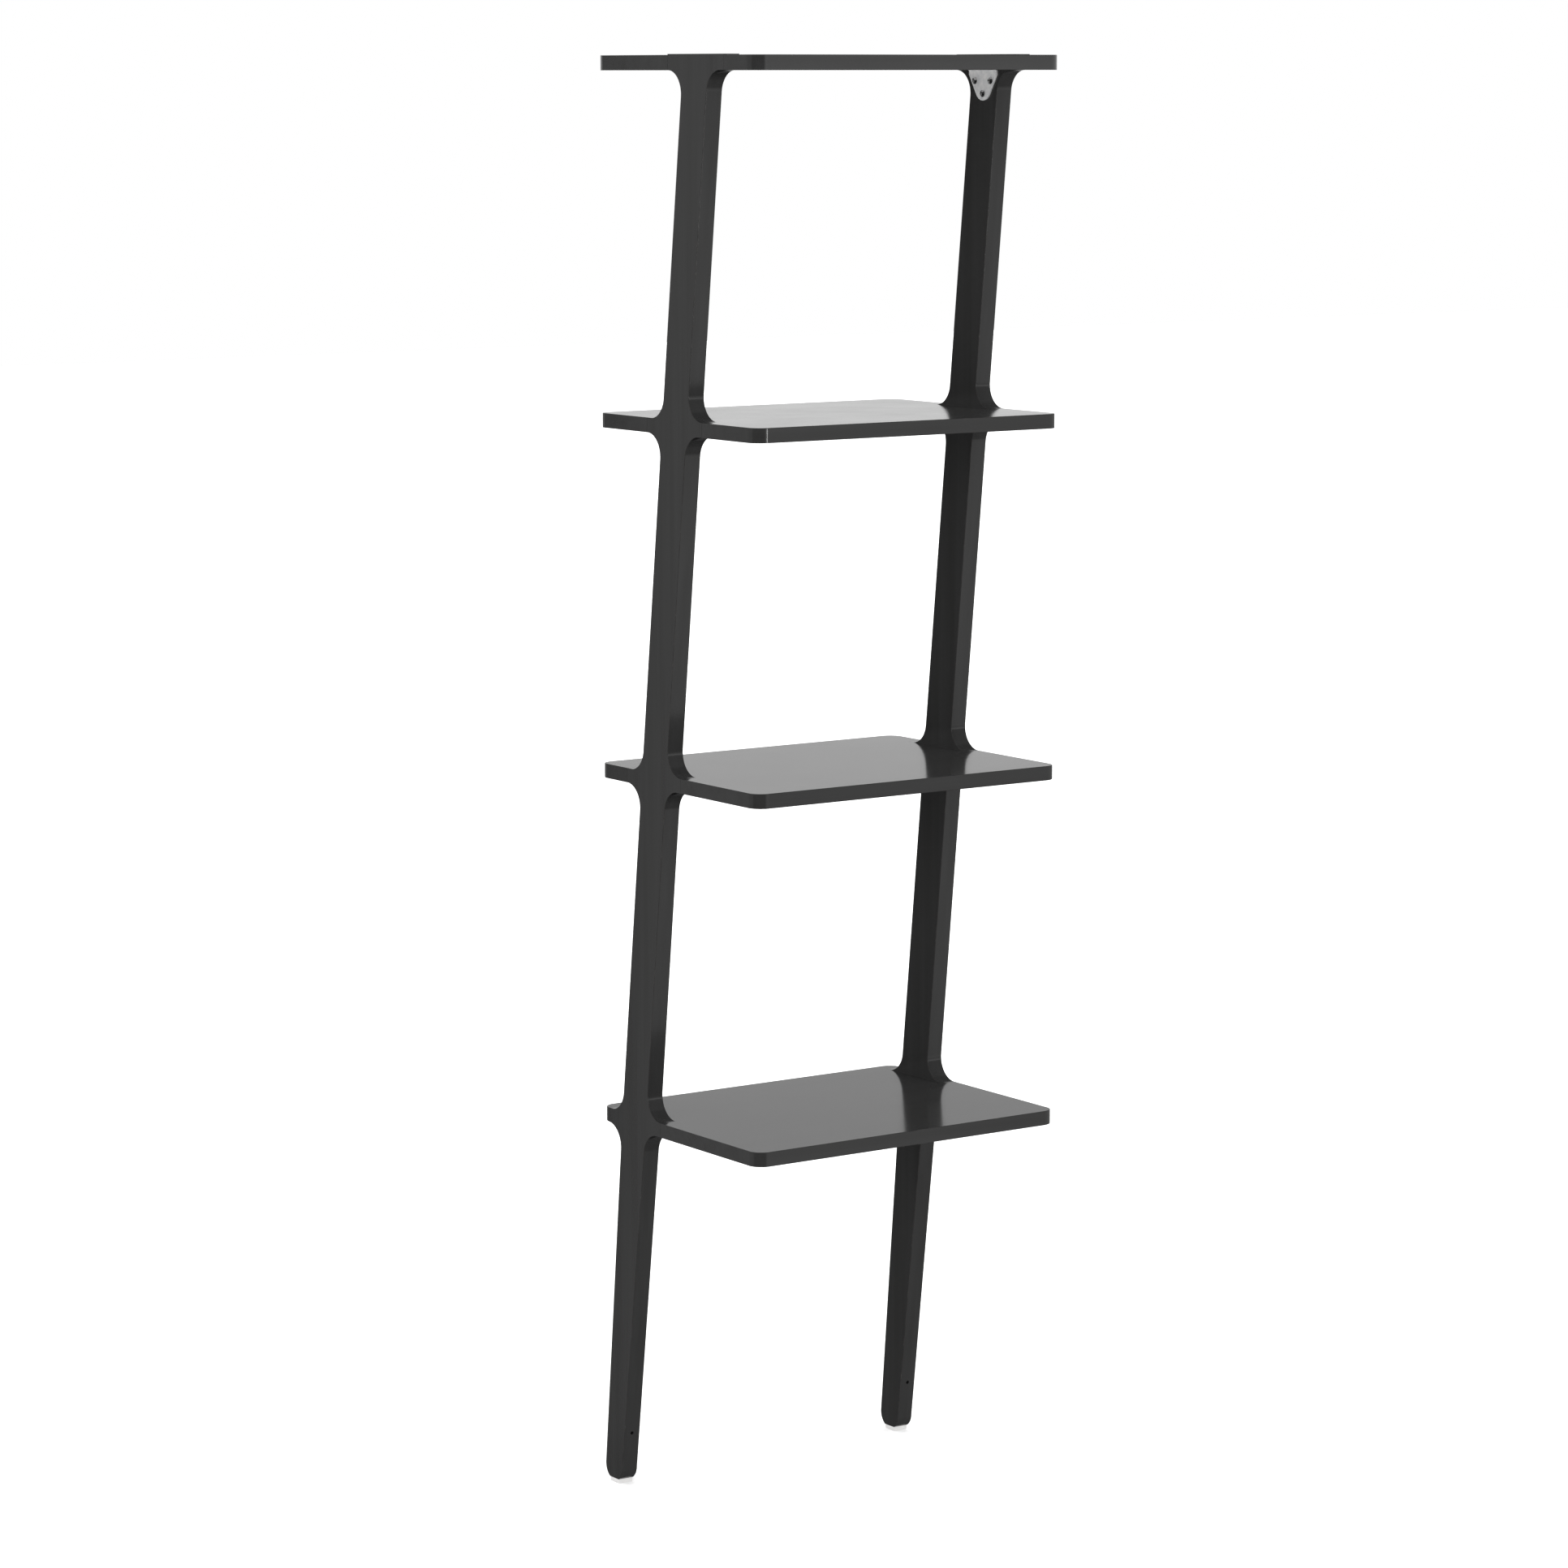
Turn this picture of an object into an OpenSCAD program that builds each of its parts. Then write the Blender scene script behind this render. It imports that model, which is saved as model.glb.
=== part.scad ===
// Leaning ladder shelf: four boards notched onto two sloping uprights.
//
// Frame: +Z up, floor at z = 0, X along the boards, -Y towards the wall that the shelf leans on.
// The origin is on the floor, under the middle of the boards. Millimetres.

/* [Boards] */
// Length of a board, over the uprights' outer faces
shelf_w = 400; // [340:10:600]
// Depth of a board, from the wall edge to the front edge
shelf_d = 308; // [300:2:340]
// Thickness of a board
shelf_t = 16; // [16:1:20]
// Radius of a board's corners in plan
corner_r = 16; // [8:1:24]
// Height of the bottom board's top face above the floor
bottom_h = 427; // [400:1:440]
// Height from one board to the next
shelf_pitch = 385; // [300:5:390]

/* [Uprights] */
// Thickness of an upright, along X
upright_t = 20; // [20:1:26]
// Width of an upright, measured level along Y
upright_w = 48; // [44:1:52]
// Width of a leg at its lower end, measured level along Y
leg_end_w = 34; // [30:1:36]
// Angle at which an upright leans towards the wall, in degrees
lean = 6.4; // [5.6:0.1:6.4]
// Distance from the wall to an upright's centreline, at the top board
top_setback = 111; // [105:1:116]
// Radius of the fillets between an upright and its arms
fillet_r = 25; // [18:1:25]
// Length of an arm beyond the upright's edge
arm_reach = 29; // [29:1:34]
// Height of an upright's head above the top board
head_proud = 1; // [0.5:0.5:2]
// Gap between an arm's end and the notch in its board
notch_gap = 0.2; // [0.1:0.1:0.4]

/* [Feet] */
// Height of a glide
glide_t = 5; // [3:1:8]
// Length of the flat at a leg's lower end
foot_flat = 18; // [14:1:20]
// Height of the pilot hole in a leg's wall edge
pilot_h = 60; // [45:1:90]
// Radius of the pilot hole
pilot_r = 2; // [1.5:0.5:3]

/* [Brackets] */
// Width of a bracket's leg
bracket_w = 50; // [46:1:54]
// Length of a bracket's leg, from the back of the bend to the tip
bracket_l = 35; // [32:1:38]
// Thickness of the bracket's steel
bracket_t = 2; // [1.5:0.5:2.5]
// Radius of a bracket's rounded tip
bracket_tip_r = 14; // [12:1:16]
// Distance between the two screws nearest the bend
screw_spacing = 28; // [24:1:32]
// Radius of a pan-head screw's head
screw_head_r = 4; // [3:0.5:4.5]

/* [Joint fittings] */
// Radius of a wooden dowel
dowel_r = 4; // [3:1:4]
// Distance from an upright's centreline to each dowel
dowel_offset = 34; // [30:1:40]
// Distance from an upright's inner face to the centre of a cam lock
cam_inset = 24; // [24:1:34]
// Radius of a cam lock
cam_r = 7.5; // [6:0.5:7.5]

/* [Hidden] */
$fn = 64;

// boards are counted from the floor up
BOTTOM = 0;
LOWER = 1;
UPPER = 2;
TOP = 3;
LEFT = 0;
RIGHT = 1;
function board_top(i) = bottom_h + i * shelf_pitch;
function board_mid(i) = board_top(i) - shelf_t / 2;
function board_under(i) = board_top(i) - shelf_t;
top_h = board_top(TOP);

// uprights
wall_y = -shelf_d / 2;
outer_x = shelf_w / 2;
inner_x = outer_x - upright_t;
middle_x = outer_x - upright_t / 2;
arm_half = upright_w / 2 + arm_reach;
foot_r = leg_end_w / 2 * cos(lean);
foot_centre_h = glide_t + sqrt(foot_r * foot_r - foot_flat * foot_flat / 4);
function centre_y(z) = wall_y + top_setback + (top_h - z) * tan(lean);
foot_y = centre_y(foot_centre_h);
// how far a fillet's web runs into the upright and the arm that it joins
web_root = 6;
// how thick a web is left where it runs out along the arm and the upright
web_edge = 0.05;

// half the level width of an upright: even down to the bottom board, then tapering to the leg's end
function taper_share(z) = max(0, (bottom_h - z) / (bottom_h - foot_centre_h));
function half_width(z) = (upright_w + (leg_end_w - upright_w) * taper_share(z)) / 2;
function edge(side, z) = [centre_y(z) + side * half_width(z), z];

// fittings
dowel_l = 30;
dowel_in_upright = 11;
dowel_chamfer = 1;
hole_slack = 0.05;
hole_end_gap = 1;
cam_h = 12.5;
cam_slot_h = 7;
bolt_in_upright = 11;
bolt_thread_r = 2.5;
bolt_shaft_r = 3;
bolt_neck_r = 1.7;
bolt_neck_l = 5;
bolt_head_l = 3;
bolt_hole_r = 4;
cap_r = cam_r + 1;
cap_t = 1;
cap_stem_r = 5;
cap_stem_l = 2;

// brackets and their screws; a row's distance is from the back of the bend
bracket_straight = 7;
bracket_pocket_gap = 0.3;
// how deep inside the tip's circle the two sloping sides end
tip_side_depth = 0.05;
screw_row = 13.5;
screw_tip_row = 27.5;
screw_l = 12;
screw_r = 1.75;
screw_tip_l = 3;
screw_head_h = 3;
screw_head_round = 0.8;
flat_head_rim = 0.2;
flat_head_r = screw_r + bracket_t - 2 * flat_head_rim;
recess_l = 3.6;
recess_w = 0.8;
recess_depth = 1.2;

// glides
glide_inset = 0.5;
glide_corner_r = 2;
nail_r = 1;
nail_l = 18;
nail_head_r = 3;
nail_head_t = 1;
nail_recess = 1.5;
pilot_depth = 12;

cut = 1;
black_lacquer = "#303030";
steel = "#a8a8a8";
zinc = "#bcbcb8";
beech = "#d8b98a";
pale_plastic = "#e8e6e0";

// ---- placing ----

// draws its children as they are on the left, and mirrored on the right
module on_side(side) {
    if (side == LEFT) children();
    else mirror([1, 0, 0]) children();
}

module both_sides() {
    for (side = [LEFT, RIGHT]) on_side(side) children();
}

// moves the origin to a left-hand joint's middle, on the upright's inner face, with +X into the board
module at_joint(board) {
    translate([-inner_x, centre_y(board_mid(board)), board_mid(board)]) children();
}

// turns a shape that stands along +Z so that it lies along +X
module along_x() {
    rotate([0, 90, 0]) children();
}

// ---- uprights ----

// the web that rounds the angle at a corner, counter-clockwise from direction a to direction b
module fillet_web(corner, direction_a, direction_b) {
    half_angle = acos(direction_a * direction_b) / 2;
    bisector = (direction_a + direction_b) / norm(direction_a + direction_b);
    reach = fillet_r / tan(half_angle);
    centre = corner + bisector * fillet_r / sin(half_angle);
    difference() {
        polygon([
            corner - bisector * web_root, corner + direction_a * reach,
            centre, corner + direction_b * reach
        ]);
        translate(centre) circle(fillet_r - web_edge);
    }
}

module board_node_profile(board) {
    y = centre_y(board_mid(board));
    rise = board == TOP ? head_proud : 0;
    translate([y - arm_half, board_under(board)]) square([2 * arm_half, shelf_t + rise]);
    for (side = [-1, 1]) {
        for (way = board == TOP ? [-1] : [-1, 1]) {
            z = way < 0 ? board_under(board) : board_top(board);
            corner = edge(side, z);
            step = edge(side, z + way * 2 * fillet_r) - corner;
            along_arm = [side, 0];
            along_upright = step / norm(step);
            if (side == way) fillet_web(corner, along_arm, along_upright);
            else fillet_web(corner, along_upright, along_arm);
        }
    }
}

// the outline of an upright, with Y across and Z up
module upright_profile() {
    difference() {
        union() {
            polygon([
                edge(-1, top_h), edge(-1, bottom_h), edge(-1, foot_centre_h),
                edge(1, foot_centre_h), edge(1, bottom_h), edge(1, top_h)
            ]);
            translate([foot_y, foot_centre_h]) circle(foot_r);
            for (board = [BOTTOM:TOP]) board_node_profile(board);
        }
        translate([foot_y - leg_end_w, glide_t - leg_end_w]) square([2 * leg_end_w, leg_end_w]);
    }
}

module upright(side) {
    color(black_lacquer)
    on_side(side)
    difference() {
        translate([-outer_x, 0, 0]) rotate([90, 0, 90]) linear_extrude(upright_t) upright_profile();
        for (board = [BOTTOM:TOP]) at_joint(board) dowel_holes(-dowel_in_upright - hole_end_gap, 0);
        for (board = [BOTTOM:UPPER]) {
            at_joint(board)
            translate([-bolt_in_upright, 0, 0])
            along_x() cylinder(r = bolt_thread_r, h = bolt_in_upright + cut);
        }
        upright_screws_frame() screw_holes();
        translate([-middle_x, foot_y, 0]) cylinder(r = nail_r, h = nail_recess + nail_l);
        pilot_hole();
    }
}

// a blind hole in the leg's wall edge, halfway across its thickness
module pilot_hole() {
    mouth = edge(-1, pilot_h);
    translate([-middle_x, mouth.x + pilot_depth, pilot_h])
    rotate([90, 0, 0]) cylinder(r = pilot_r, h = 2 * pilot_depth);
}

// ---- boards ----

module board_outline() {
    square([shelf_w - 2 * corner_r, shelf_d], center = true);
    square([shelf_w, shelf_d - 2 * corner_r], center = true);
    for (x = [-1, 1], y = [-1, 1]) {
        translate([x * (outer_x - corner_r), y * (shelf_d / 2 - corner_r)]) circle(corner_r);
    }
}

module notch(board) {
    width = 2 * (arm_half + notch_gap);
    translate([-outer_x - cut, centre_y(board_mid(board)) - width / 2, board_under(board) - cut])
    cube([upright_t + cut, width, shelf_t + 2 * cut]);
}

module shelf(board) {
    color(black_lacquer)
    difference() {
        translate([0, 0, board_under(board)]) linear_extrude(shelf_t) board_outline();
        both_sides() {
            notch(board);
            at_joint(board) dowel_holes(0, dowel_l - dowel_in_upright + hole_end_gap);
            if (board == TOP) shelf_screws_frame() bracket_pocket();
            else at_joint(board) cam_holes();
        }
    }
}

// ---- dowels and cam fittings ----

module dowel_holes(from, to) {
    for (side = [-1, 1]) {
        translate([min(from, to) - (to > 0 ? cut : 0), side * dowel_offset, 0])
        along_x() cylinder(r = dowel_r + hole_slack, h = abs(to - from) + cut);
    }
}

module dowel() {
    rotate_extrude()
    polygon([
        [0, 0], [dowel_r - dowel_chamfer, 0], [dowel_r, dowel_chamfer],
        [dowel_r, dowel_l - dowel_chamfer], [dowel_r - dowel_chamfer, dowel_l], [0, dowel_l]
    ]);
}

module dowels(board) {
    color(beech)
    both_sides()
    at_joint(board)
    for (side = [-1, 1]) translate([-dowel_in_upright, side * dowel_offset, 0]) along_x() dowel();
}

module cam_holes() {
    along_x() cylinder(r = bolt_hole_r, h = cam_inset);
    translate([cam_inset, 0, -shelf_t / 2 - cut]) cylinder(r = cam_r, h = cam_h + cut);
}

// threaded into the upright, with a necked head that the cam lock grips
module cam_bolt() {
    neck_start = cam_inset - bolt_head_l - bolt_neck_l;
    rotate_extrude()
    polygon([
        [0, -bolt_in_upright], [bolt_thread_r, -bolt_in_upright], [bolt_thread_r, 0],
        [bolt_shaft_r, 0], [bolt_shaft_r, neck_start],
        [bolt_neck_r, neck_start], [bolt_neck_r, cam_inset - bolt_head_l],
        [bolt_shaft_r, cam_inset - bolt_head_l], [bolt_shaft_r, cam_inset], [0, cam_inset]
    ]);
}

module cam_bolts(board) {
    color(zinc) both_sides() at_joint(board) along_x() cam_bolt();
}

// a drum that turns in the board's underside, slotted on one side for the bolt's head
module cam_lock() {
    difference() {
        translate([0, 0, -shelf_t / 2]) cylinder(r = cam_r, h = cam_h);
        translate([-2 * cam_r, -bolt_hole_r, -cam_slot_h / 2])
        cube([2 * cam_r + bolt_hole_r, 2 * bolt_hole_r, cam_slot_h]);
        translate([0, 0, -shelf_t / 2]) cylinder(r = cap_stem_r, h = cap_stem_l);
    }
}

module cam_locks(board) {
    color(zinc) both_sides() at_joint(board) translate([cam_inset, 0, 0]) cam_lock();
}

module cam_caps(board) {
    color(black_lacquer)
    both_sides()
    at_joint(board)
    translate([cam_inset, 0, -shelf_t / 2]) {
        translate([0, 0, -cap_t]) cylinder(r = cap_r, h = cap_t);
        cylinder(r = cap_stem_r, h = cap_stem_l);
    }
}

// ---- brackets ----

// where a line from p touches a circle, taking the touch that lies counter-clockwise from p
function touch_point(p, centre, r) =
    let (from_centre = p - centre, heading = atan2(from_centre.y, from_centre.x))
    let (angle = heading + acos(r / norm(from_centre)))
    centre + r * [cos(angle), sin(angle)];

// one leg of the bracket, widened by a gap: straight at the bend, then tapering to a round tip,
// with +y away from the bend
module shield(gap = 0) {
    half = bracket_w / 2 + gap;
    tip_r = bracket_tip_r + gap;
    tip_centre = [0, bracket_l - bracket_tip_r];
    shoulder = [half, bracket_straight];
    touch = touch_point(shoulder, tip_centre, tip_r - tip_side_depth);
    translate(tip_centre) circle(tip_r);
    polygon([
        [-half, -gap], [half, -gap], shoulder, touch,
        tip_centre, [-touch.x, touch.y], [-half, bracket_straight]
    ]);
}

// the back of a bracket's bend; the bracket is centred on the upright at its own middle height
module bracket_corner() {
    bend_z = board_under(TOP) + bracket_t;
    translate([-inner_x, centre_y(bend_z - bracket_l / 2), bend_z]) children();
}

// frames in which a bracket leg lies in XY on z = 0, with +y away from the bend and +z out of the steel
module upright_screws_frame() {
    bracket_corner() rotate([0, 90, 0]) rotate([0, 0, -90]) children();
}

module shelf_screws_frame() {
    bracket_corner() rotate([180, 0, 0]) rotate([0, 0, -90]) children();
}

module screw_places() {
    across = screw_spacing / 2;
    for (place = [[-across, screw_row], [across, screw_row], [0, screw_tip_row]]) {
        translate(place) children();
    }
}

module screw_holes() {
    screw_places() cylinder(r = screw_r, h = 2 * screw_l, center = true);
}

// where the board leg is let in, so that it lies flush with the board's underside
module bracket_pocket() {
    linear_extrude(bracket_t + cut) shield(bracket_pocket_gap);
    screw_holes();
}

// a bracket leg lies on the upright's face, and the other one in the board's pocket
module bracket(side) {
    color(steel)
    on_side(side)
    difference() {
        union() {
            upright_screws_frame() linear_extrude(bracket_t) shield();
            shelf_screws_frame() linear_extrude(bracket_t) shield();
        }
        upright_screws_frame() screw_holes();
        shelf_screws_frame() {
            screw_holes();
            translate([0, 0, bracket_t]) screw_places() flat_head();
        }
    }
}

// a wood screw's shank, from z = 0 to its point along -z
module shank() {
    rotate_extrude()
    polygon([[0, 0], [screw_r, 0], [screw_r, screw_tip_l - screw_l], [0, -screw_l]]);
}

// the cross in a head whose top is at z = 0
module cross_recess() {
    for (turn = [0, 90]) {
        rotate(turn)
        translate([-recess_l / 2, -recess_w / 2, -recess_depth])
        cube([recess_l, recess_w, recess_depth + cut]);
    }
}

// a pan-head wood screw, with its head on z = 0
module pan_screw() {
    difference() {
        union() {
            rotate_extrude()
            polygon([
                [0, 0], [screw_head_r, 0], [screw_head_r, screw_head_h - screw_head_round],
                [screw_head_r - screw_head_round, screw_head_h], [0, screw_head_h]
            ]);
            shank();
        }
        translate([0, 0, screw_head_h]) cross_recess();
    }
}

// a countersunk head under z = 0
module flat_head() {
    rotate_extrude()
    polygon([
        [0, screw_r - flat_head_r - flat_head_rim], [screw_r, screw_r - flat_head_r - flat_head_rim],
        [flat_head_r, -flat_head_rim], [flat_head_r, 0], [0, 0]
    ]);
}

// a countersunk wood screw, with the top of its head at z = 0
module flat_screw() {
    difference() {
        union() {
            flat_head();
            shank();
        }
        cross_recess();
    }
}

module bracket_upright_screws(side) {
    color(steel)
    on_side(side)
    upright_screws_frame() translate([0, 0, bracket_t]) screw_places() pan_screw();
}

module bracket_shelf_screws(side) {
    color(steel)
    on_side(side)
    shelf_screws_frame() translate([0, 0, bracket_t]) screw_places() flat_screw();
}

// ---- glides ----

module glide_outline() {
    long = foot_flat - 2 * glide_corner_r;
    wide = upright_t - 2 * glide_inset - 2 * glide_corner_r;
    square([wide + 2 * glide_corner_r, long], center = true);
    square([wide, long + 2 * glide_corner_r], center = true);
    for (x = [-1, 1], y = [-1, 1]) translate([x * wide / 2, y * long / 2]) circle(glide_corner_r);
}

module glide(side) {
    color(pale_plastic)
    on_side(side)
    translate([-middle_x, foot_y, 0])
    difference() {
        linear_extrude(glide_t) glide_outline();
        cylinder(r = nail_r, h = glide_t);
        cylinder(r = nail_head_r, h = nail_recess + nail_head_t);
    }
}

module glide_nail(side) {
    color(steel)
    on_side(side)
    translate([-middle_x, foot_y, nail_recess]) {
        cylinder(r = nail_head_r, h = nail_head_t);
        cylinder(r = nail_r, h = nail_l);
    }
}

upright(LEFT);  // upright_left
upright(RIGHT);  // upright_right
shelf(TOP);  // shelf_top
shelf(UPPER);  // shelf_upper
shelf(LOWER);  // shelf_lower
shelf(BOTTOM);  // shelf_bottom
bracket(LEFT);  // bracket_left
bracket(RIGHT);  // bracket_right
bracket_upright_screws(LEFT);  // bracket_upright_screws_left
bracket_upright_screws(RIGHT);  // bracket_upright_screws_right
bracket_shelf_screws(LEFT);  // bracket_shelf_screws_left
bracket_shelf_screws(RIGHT);  // bracket_shelf_screws_right
dowels(TOP);  // dowels_top
dowels(UPPER);  // dowels_upper
dowels(LOWER);  // dowels_lower
dowels(BOTTOM);  // dowels_bottom
cam_bolts(UPPER);  // cam_bolts_upper
cam_bolts(LOWER);  // cam_bolts_lower
cam_bolts(BOTTOM);  // cam_bolts_bottom
cam_locks(UPPER);  // cam_locks_upper
cam_locks(LOWER);  // cam_locks_lower
cam_locks(BOTTOM);  // cam_locks_bottom
cam_caps(UPPER);  // cam_caps_upper
cam_caps(LOWER);  // cam_caps_lower
cam_caps(BOTTOM);  // cam_caps_bottom
glide(LEFT);  // glide_left
glide(RIGHT);  // glide_right
glide_nail(LEFT);  // glide_nail_left
glide_nail(RIGHT);  // glide_nail_right
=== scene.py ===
"""The looks of a leaning ladder shelf in black lacquer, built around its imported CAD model.

Everything is in metres in the row frame: +Z up, X along the boards, -Y towards the wall.
"""

import math

import bmesh
import bpy
from mathutils import Matrix, Vector


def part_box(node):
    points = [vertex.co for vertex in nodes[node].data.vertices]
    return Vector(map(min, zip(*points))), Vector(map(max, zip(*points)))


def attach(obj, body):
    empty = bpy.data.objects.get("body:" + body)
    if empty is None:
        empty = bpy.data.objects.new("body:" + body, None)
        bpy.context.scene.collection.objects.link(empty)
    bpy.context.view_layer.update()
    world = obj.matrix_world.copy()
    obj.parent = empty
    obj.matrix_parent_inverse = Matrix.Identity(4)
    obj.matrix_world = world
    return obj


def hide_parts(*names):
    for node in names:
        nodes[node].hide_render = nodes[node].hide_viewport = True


MM = 0.001

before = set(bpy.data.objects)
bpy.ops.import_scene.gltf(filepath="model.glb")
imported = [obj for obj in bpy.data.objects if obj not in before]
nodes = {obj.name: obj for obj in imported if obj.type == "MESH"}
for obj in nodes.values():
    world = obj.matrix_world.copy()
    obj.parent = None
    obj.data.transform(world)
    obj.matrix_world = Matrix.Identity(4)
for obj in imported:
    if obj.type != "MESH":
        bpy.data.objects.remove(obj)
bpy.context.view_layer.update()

BOARDS = ("bottom", "lower", "upper", "top")
CAM_BOARDS = BOARDS[:-1]
SIDES = {"left": -1, "right": 1}

# ---- the CAD model's places, and its driving dimensions repeated ----

board_boxes = {board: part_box(f"shelf_{board}") for board in BOARDS}
BOARD_UNDER = {board: low.z for board, (low, high) in board_boxes.items()}
BOARD_TOP = {board: high.z for board, (low, high) in board_boxes.items()}
HALF_W = board_boxes["top"][1].x
HALF_D = board_boxes["top"][1].y
WALL_Y = -HALF_D
TOP_H = BOARD_TOP["top"]
BOTTOM_H = BOARD_TOP["bottom"]
CORNER_R = 16 * MM

UPRIGHT_T = 20 * MM
INNER_X = HALF_W - UPRIGHT_T
MIDDLE_X = HALF_W - UPRIGHT_T / 2
UPRIGHT_W = 48 * MM
LEG_END_W = 34 * MM
LEAN = math.radians(6.4)
TOP_SETBACK = 111 * MM
FILLET_R = 25 * MM
# how far an arm reaches past the upright's edge at its joint
ARM_REACH = 29 * MM
ARM_HALF = UPRIGHT_W / 2 + ARM_REACH
HEAD_PROUD = 1 * MM
NOTCH_GAP = 0.2 * MM

GLIDE_T = 5 * MM
FOOT_FLAT = 18 * MM
FOOT_R = LEG_END_W / 2 * math.cos(LEAN)
FOOT_CENTRE_H = GLIDE_T + math.sqrt(FOOT_R**2 - (FOOT_FLAT / 2) ** 2)
GLIDE_INSET = 0.5 * MM
GLIDE_CORNER_R = 2 * MM
NAIL_R = 1 * MM
NAIL_L = 18 * MM
NAIL_HEAD_R = 3 * MM
NAIL_HEAD_T = 1 * MM
NAIL_RECESS = 1.5 * MM
PILOT_H = 60 * MM
PILOT_R = 2 * MM
PILOT_DEPTH = 12 * MM

BRACKET_W = 50 * MM
# a bracket's lengths and rows are measured from the back of its bend
BRACKET_L = 35 * MM
BRACKET_T = 2 * MM
BRACKET_TIP_R = 14 * MM
BRACKET_STRAIGHT = 7 * MM
BRACKET_POCKET_GAP = 0.3 * MM
SCREW_SPACING = 28 * MM
SCREW_ROW = 13.5 * MM
SCREW_TIP_ROW = 27.5 * MM
SCREW_L = 12 * MM
SCREW_R = 1.75 * MM
SCREW_HEAD_R = 4 * MM
SCREW_HEAD_H = 3 * MM
# height of the rounded cap of a pan head, and the rounding under its rim
SCREW_CROWN = 2.5 * MM
SCREW_RIM_R = 0.2 * MM
SCREW_TIP_L = 3 * MM
CROSS_L = 4 * MM
CROSS_W = 1 * MM
CROSS_DEPTH = 1.5 * MM
FLAT_HEAD_RIM = 0.2 * MM
FLAT_HEAD_R = SCREW_R + BRACKET_T - 2 * FLAT_HEAD_RIM

DOWEL_OFFSET = 34 * MM
DOWEL_HOLE_R = 4.05 * MM
DOWEL_IN_UPRIGHT = 12 * MM
DOWEL_IN_BOARD = 20 * MM
CAM_INSET = 24 * MM
CAM_R = 7.5 * MM
CAM_H = 12.5 * MM
CAM_SHAFT_HOLE_R = 4 * MM
BOLT_R = 2.5 * MM
BOLT_IN_UPRIGHT = 11 * MM
CAP_R = 8.5 * MM
CAP_T = 1 * MM
CAP_STEM_R = 5 * MM
CAP_STEM_L = 2 * MM

# ---- the fine shape that the CAD model leaves out ----

# radius of the lacquered wood's edges, of its edges at a seam, and around the uprights' heads
EDGE_R = 0.6 * MM
SEAM_R = 0.1 * MM
HEAD_R = 0.35 * MM
STEEL_EDGE_R = 0.3 * MM
GLIDE_EDGE_R = 0.8 * MM
# radius of the bracket's bend inside and at its back, and half the bend's length along its back
BEND_R = 1.6 * MM
BEND_BACK_R = BEND_R + BRACKET_T
HALF_BEND = BEND_BACK_R * math.pi / 4
# faces around a quarter-round edge
ROUND_STEPS = 4
FILLET_STEPS = 14
CORNER_STEPS = 12
FOOT_STEPS = 20
# two edges of an outline belong to one smooth curve if the sine of their turn is less than this
SMOOTH_TURN = 0.35
SHARP_ANGLE = math.radians(40)
HOLE_SIDES = 32
# how far a drill starts outside the piece
DRILL_START = 1 * MM


def centre_y(z):
    """Y of an upright's centreline at height z."""
    return WALL_Y + TOP_SETBACK + (TOP_H - z) * math.tan(LEAN)


def board_middle(board):
    return (BOARD_UNDER[board] + BOARD_TOP[board]) / 2


def joint_y(board):
    return centre_y(board_middle(board))


def half_width(z):
    """Half the level width of an upright at height z."""
    taper = max(0.0, (BOTTOM_H - z) / (BOTTOM_H - FOOT_CENTRE_H))
    return (UPRIGHT_W + (LEG_END_W - UPRIGHT_W) * taper) / 2


def upright_edge(side, z):
    return Vector((centre_y(z) + side * half_width(z), z))


FOOT_Y = centre_y(FOOT_CENTRE_H)

# ---- mesh tools ----


def outward(direction):
    """The outward normal of an edge of a counter-clockwise outline."""
    return Vector((direction.y, -direction.x))


def inset_vector(before, after, radius_before, radius_after):
    """How a corner moves when the unit edges that meet there move inwards by their radii."""
    normal_before = outward(before)
    normal_after = outward(after)
    determinant = normal_before.cross(normal_after)
    if abs(determinant) < SMOOTH_TURN:
        bisector = normal_before + normal_after
        return -bisector * (radius_before + radius_after) / bisector.length_squared
    return Vector(
        (
            (radius_after * normal_before.y - radius_before * normal_after.y) / determinant,
            (radius_before * normal_after.x - radius_after * normal_before.x) / determinant,
        )
    )


def rounded_prism(outline, low, high):
    """A bmesh prism on a counter-clockwise outline, from low to high, with quarter-round edges.

    The outline has (point, low radius, high radius) for each corner, and the radii are
    those of the edge that follows the corner. The layer edge_wear is 1 midway round an edge.
    """
    mesh = bmesh.new()
    wear = mesh.verts.layers.float.new("edge_wear")
    points = [corner[0] for corner in outline]
    count = len(points)
    edges = [(points[(i + 1) % count] - points[i]).normalized() for i in range(count)]

    def ring(end, level, inwards, angle):
        loop = []
        for i, point in enumerate(points):
            before = outline[i - 1][end]
            after = outline[i][end]
            inset = inset_vector(edges[i - 1], edges[i], before, after)
            place = point + inset * (1 - math.cos(angle))
            depth = max(before, after) * (1 - math.sin(angle))
            vertex = mesh.verts.new((place.x, place.y, level + inwards * depth))
            vertex[wear] = math.sin(2 * angle)
            loop.append(vertex)
        return loop

    angles = [math.pi / 2 * step / ROUND_STEPS for step in range(ROUND_STEPS + 1)]
    rings = [ring(1, low, 1, angle) for angle in reversed(angles)]
    rings += [ring(2, high, -1, angle) for angle in angles]
    for lower, upper in zip(rings, rings[1:]):
        for i in range(count):
            j = (i + 1) % count
            mesh.faces.new((lower[i], lower[j], upper[j], upper[i]))
    mesh.faces.new(reversed(rings[0]))
    mesh.faces.new(rings[-1])
    return mesh


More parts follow.
